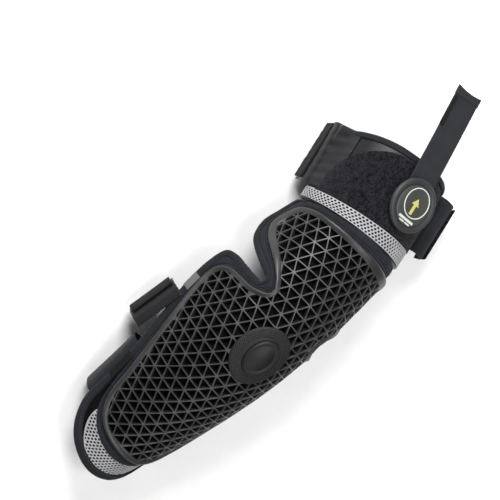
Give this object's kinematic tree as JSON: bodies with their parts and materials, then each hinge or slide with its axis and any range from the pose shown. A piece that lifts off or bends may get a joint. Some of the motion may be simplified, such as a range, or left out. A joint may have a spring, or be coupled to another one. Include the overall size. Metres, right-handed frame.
{
  "type": "elbow and forearm guard",
  "caption": "Arched lattice elbow and forearm guard on a padded fabric body, with an elastic cuff, closure flaps and a swivelling strap under a round badge.",
  "frame": {"origin": "middle of the guard's bounding box, on the surface it lies on", "axes": "+X along the limb toward the wrist, +Y to the far side of the limb (away from the closure tabs), +Z outward over the elbow"},
  "size_m": [0.4886, 0.1652, 0.1117],
  "materials": {
    "shell_rubber": "satin moulded rubber",
    "rim_rubber": "satin moulded rubber",
    "border_fabric": "fine knit, matt",
    "silver_mesh": "open spacer mesh, slightly shiny",
    "binding_fabric": "woven binding tape, matt",
    "foam": "closed-cell foam with a perforated face",
    "lining": "brushed knit",
    "cap_disc": "finely pitted rubber",
    "cap_boss": "satin",
    "elastic": "smooth knitted elastic",
    "hook_tape": "nylon hook tape",
    "label_rubber": "satin",
    "label_woven": "woven label",
    "loop_pile": "brushed loop pile",
    "stud_metal": "nickel",
    "badge_rubber": "soft satin rubber",
    "badge_face": "satin",
    "badge_white": "raised print",
    "badge_yellow": "raised print",
    "webbing": "ribbed elastic webbing"
  },
  "bodies": {
    "upper": {"upper_shell": "shell_rubber", "upper_shell_rim": "rim_rubber", "upper_sleeve": "border_fabric", "upper_edge_binding_near": "binding_fabric", "upper_edge_binding_far": "binding_fabric", "upper_pad": "foam", "upper_lining": "lining", "upper_mesh_band": "silver_mesh", "upper_loop_panel": "loop_pile", "cuff_backing": "elastic", "cuff_lining": "lining", "cuff_end_binding": "binding_fabric", "cuff_elastic": "elastic", "swivel_stud": "stud_metal", "badge_base": "badge_rubber", "badge_face": "badge_face", "badge_ring": "badge_white", "badge_emblem": "badge_yellow"},
    "forearm": {"forearm_shell": "shell_rubber", "forearm_shell_rim": "rim_rubber", "forearm_sleeve": "border_fabric", "wrist_mesh_panel": "silver_mesh", "forearm_edge_binding": "binding_fabric", "forearm_pad": "foam", "forearm_lining": "lining", "elbow_cap_disc": "cap_disc", "elbow_boss": "cap_boss", "forearm_elastic_band": "elastic", "side_label": "label_rubber", "woven_label": "label_woven"},
    "strap_base": {"strap_anchor": "webbing"},
    "strap": {"strap_webbing": "webbing", "strap_hook_patch": "hook_tape", "strap_tip_hem": "webbing"},
    "closure_wing": {"upper_closure_elastic": "elastic", "upper_closure_hook": "hook_tape"},
    "far_flap": {"rear_flap": "elastic", "rear_flap_hook": "hook_tape"},
    "forearm_tab": {"forearm_tab_elastic": "elastic", "forearm_tab_hook": "hook_tape"}
  },
  "joints": [
    {"name": "elbow_flex", "type": "hinge", "parent": "upper", "child": "forearm", "pos_m": [0.01553, 0.00325, 0.0774], "axis": [0, 1, 0], "range_deg": [-4, 32], "stiffness_Nm_per_rad": 8},
    {"name": "strap_swivel", "type": "hinge", "parent": "upper", "child": "strap_base", "pos_m": [-0.13121, -0.00415, 0.08658], "axis": [-0.2046, 0.0854, 0.9751], "range_deg": [-90, 60]},
    {"name": "strap_fold", "type": "hinge", "parent": "strap_base", "child": "strap", "pos_m": [-0.16015, -0.01394, 0.08249], "axis": [-0.2985, 0.9433, -0.1452], "range_deg": [0, 115]},
    {"name": "closure_wing_peel", "type": "hinge", "parent": "upper", "child": "closure_wing", "pos_m": [-0.10616, -0.06886, 0.03075], "axis": [-0.9545, -0.238, -0.1796], "range_deg": [-3, 80], "stiffness_Nm_per_rad": 0.05},
    {"name": "far_flap_peel", "type": "hinge", "parent": "upper", "child": "far_flap", "pos_m": [-0.14066, 0.04807, 0.03691], "axis": [0.9544, 0.238, 0.18], "range_deg": [-3, 60], "stiffness_Nm_per_rad": 0.05},
    {"name": "forearm_tab_peel", "type": "hinge", "parent": "forearm", "child": "forearm_tab", "pos_m": [0.10057, -0.06565, 0.03656], "axis": [-0.9868, 0, 0.1618], "range_deg": [-3, 80], "stiffness_Nm_per_rad": 0.03}
  ]
}
